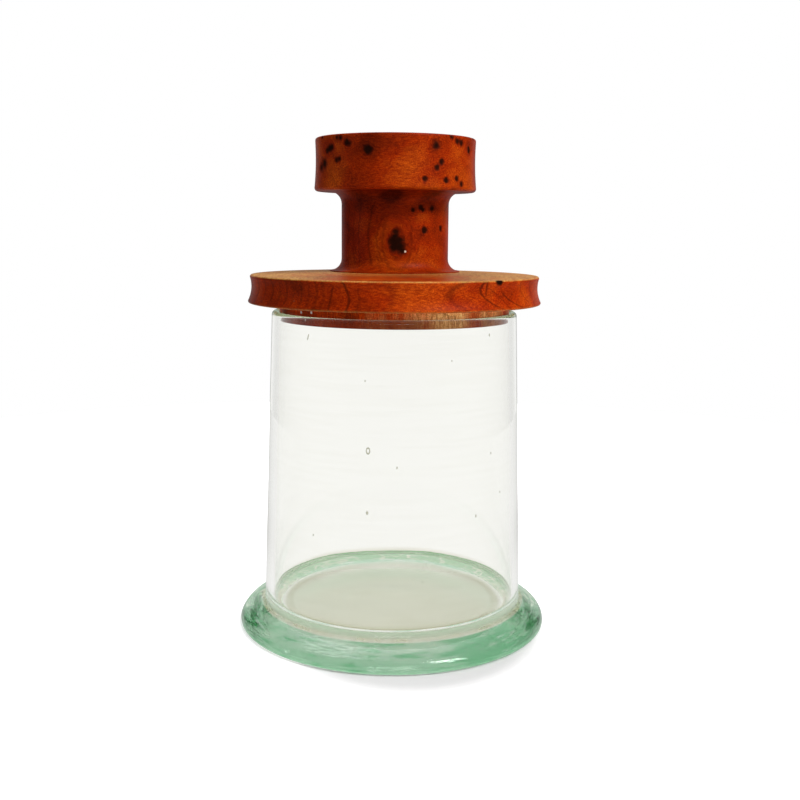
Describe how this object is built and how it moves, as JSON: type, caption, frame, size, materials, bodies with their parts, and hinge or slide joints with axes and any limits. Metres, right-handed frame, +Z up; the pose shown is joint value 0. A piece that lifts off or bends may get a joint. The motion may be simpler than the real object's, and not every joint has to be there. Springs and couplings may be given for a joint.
{
  "type": "glass storage jar with wooden lid",
  "caption": "Round blown-glass storage jar with a flared wall and a spread rounded foot, closed by a turned wooden lid with a plug, an overhanging disc and a broad capped knob that lifts off.",
  "frame": {"origin": "on the table under the middle of the foot", "axes": "+Z up along the jar's axis of revolution, -Y towards the viewer of the picture, +X to the viewer's right"},
  "size_m": [0.1414, 0.1414, 0.2196],
  "materials": {
    "clear_glass": "clear, polished, with faint blowing marks",
    "green_glass": "pale aqua green, polished",
    "disc_wood": "turned and glossy varnished",
    "plug_wood": "turned and glossy varnished",
    "knob_wood": "turned burr wood, glossy varnished"
  },
  "bodies": {
    "jar": {"jar_body": "clear_glass", "jar_foot": "green_glass"},
    "lid": {"lid_disc": "disc_wood", "lid_plug": "plug_wood", "lid_knob": "knob_wood"}
  },
  "joints": [
    {"name": "lid_lift", "type": "slide", "parent": "jar", "child": "lid", "axis": [0, 0, 1], "range_m": [0, 0.08]}
  ]
}
